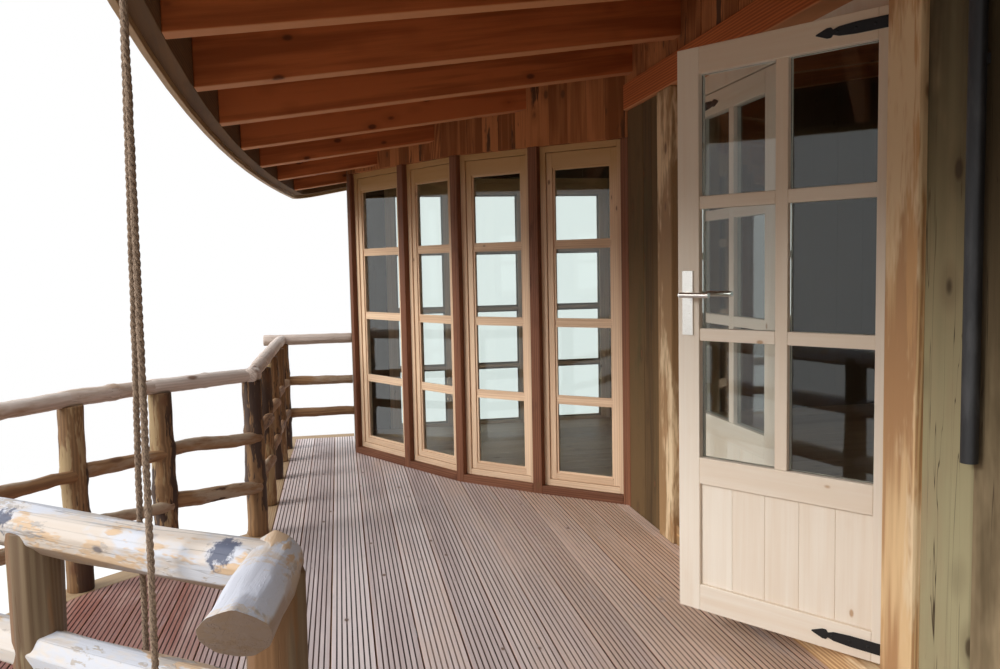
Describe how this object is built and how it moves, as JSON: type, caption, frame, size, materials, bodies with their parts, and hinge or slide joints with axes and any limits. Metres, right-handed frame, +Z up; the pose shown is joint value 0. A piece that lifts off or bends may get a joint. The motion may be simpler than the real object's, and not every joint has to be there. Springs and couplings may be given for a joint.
{
  "type": "tree house on log stilts",
  "caption": "Timber cabin on log stilts with a glazed double door, a faceted window bay and a railed terrace under one lean-to roof.",
  "frame": {"origin": "centre of the foot of the middle log stilt under the door wall, on the ground", "axes": "+X from the terrace across the cabin to its rear wall, +Y along the deck boards away from the entrance, +Z up"},
  "size_m": [6.411, 6.7, 5.748],
  "materials": {
    "round_log": "weathered round logs",
    "beam_timber": "sawn larch",
    "deck_board": "grooved larch boards",
    "edge_timber": "sawn larch, paler",
    "barked_pole": "thin poles with rests of bark",
    "pale_log": "peeled pale logs",
    "room_floor": "floor boards",
    "slab_wall": "upright slab boards",
    "waney_timber": "waney-edged orange-brown timber",
    "door_spruce": "new spruce, oiled",
    "black_iron": "black forged iron",
    "handle_metal": "satin",
    "clear_glass": "clear window glass",
    "window_fir": "red-brown fir",
    "rafter_timber": "sawn fir",
    "eaves_timber": "greenish-brown blocking",
    "bent_ply": "thin bent board",
    "roof_felt": "dark sheet",
    "pipe_grey": "dark brown, matt",
    "hemp_rope": "twisted hemp rope"
  },
  "bodies": {
    "house": {"stilts_terrace": "round_log", "stilts_cabin": "round_log", "main_beams": "beam_timber", "knee_braces": "beam_timber", "floor_joists": "beam_timber", "deck_boards": "deck_board", "deck_edge_beam": "edge_timber", "railing_posts": "barked_pole", "railing_top_rails": "barked_pole", "railing_branch_rails": "barked_pole", "guard_posts": "pale_log", "guard_logs": "pale_log", "cabin_floor": "room_floor", "door_wall_near": "slab_wall", "door_wall_far": "slab_wall", "wall_over_door": "slab_wall", "door_jambs": "waney_timber", "lintel": "waney_timber", "threshold": "waney_timber", "door_frame": "door_spruce", "door_pintles": "black_iron", "bay_posts": "window_fir", "bay_base": "waney_timber", "bay_window_frames": "window_fir", "bay_window_glass": "clear_glass", "bay_frieze_wall": "slab_wall", "bay_return_wall": "slab_wall", "near_end_wall": "slab_wall", "far_end_wall": "slab_wall", "rear_wall": "slab_wall", "plain_window_frames": "window_fir", "plain_window_glass": "clear_glass", "rafters": "rafter_timber", "eaves_blocking": "eaves_timber", "roof_boards": "rafter_timber", "roof_skin": "roof_felt", "fascia": "bent_ply", "downpipe": "pipe_grey", "rope_hook": "black_iron", "rope_front": "hemp_rope", "rope_rear": "hemp_rope", "rope_knots": "hemp_rope"},
    "near_door": {"near_leaf_frame": "door_spruce", "near_leaf_panel": "door_spruce", "near_leaf_glass": "clear_glass", "near_leaf_straps": "black_iron", "near_leaf_handle": "handle_metal"},
    "far_door": {"far_leaf_frame": "door_spruce", "far_leaf_panel": "door_spruce", "far_leaf_glass": "clear_glass", "far_leaf_straps": "black_iron"}
  },
  "joints": [
    {"name": "near_door_hinge", "type": "hinge", "parent": "house", "child": "near_door", "pos_m": [-0.1, -1.393, 2.6], "axis": [0, 0, 1], "range_deg": [-34.3, 55.7]},
    {"name": "far_door_hinge", "type": "hinge", "parent": "house", "child": "far_door", "pos_m": [-0.1, 0.123, 2.6], "axis": [0, 0, -1], "range_deg": [0, 90]}
  ]
}
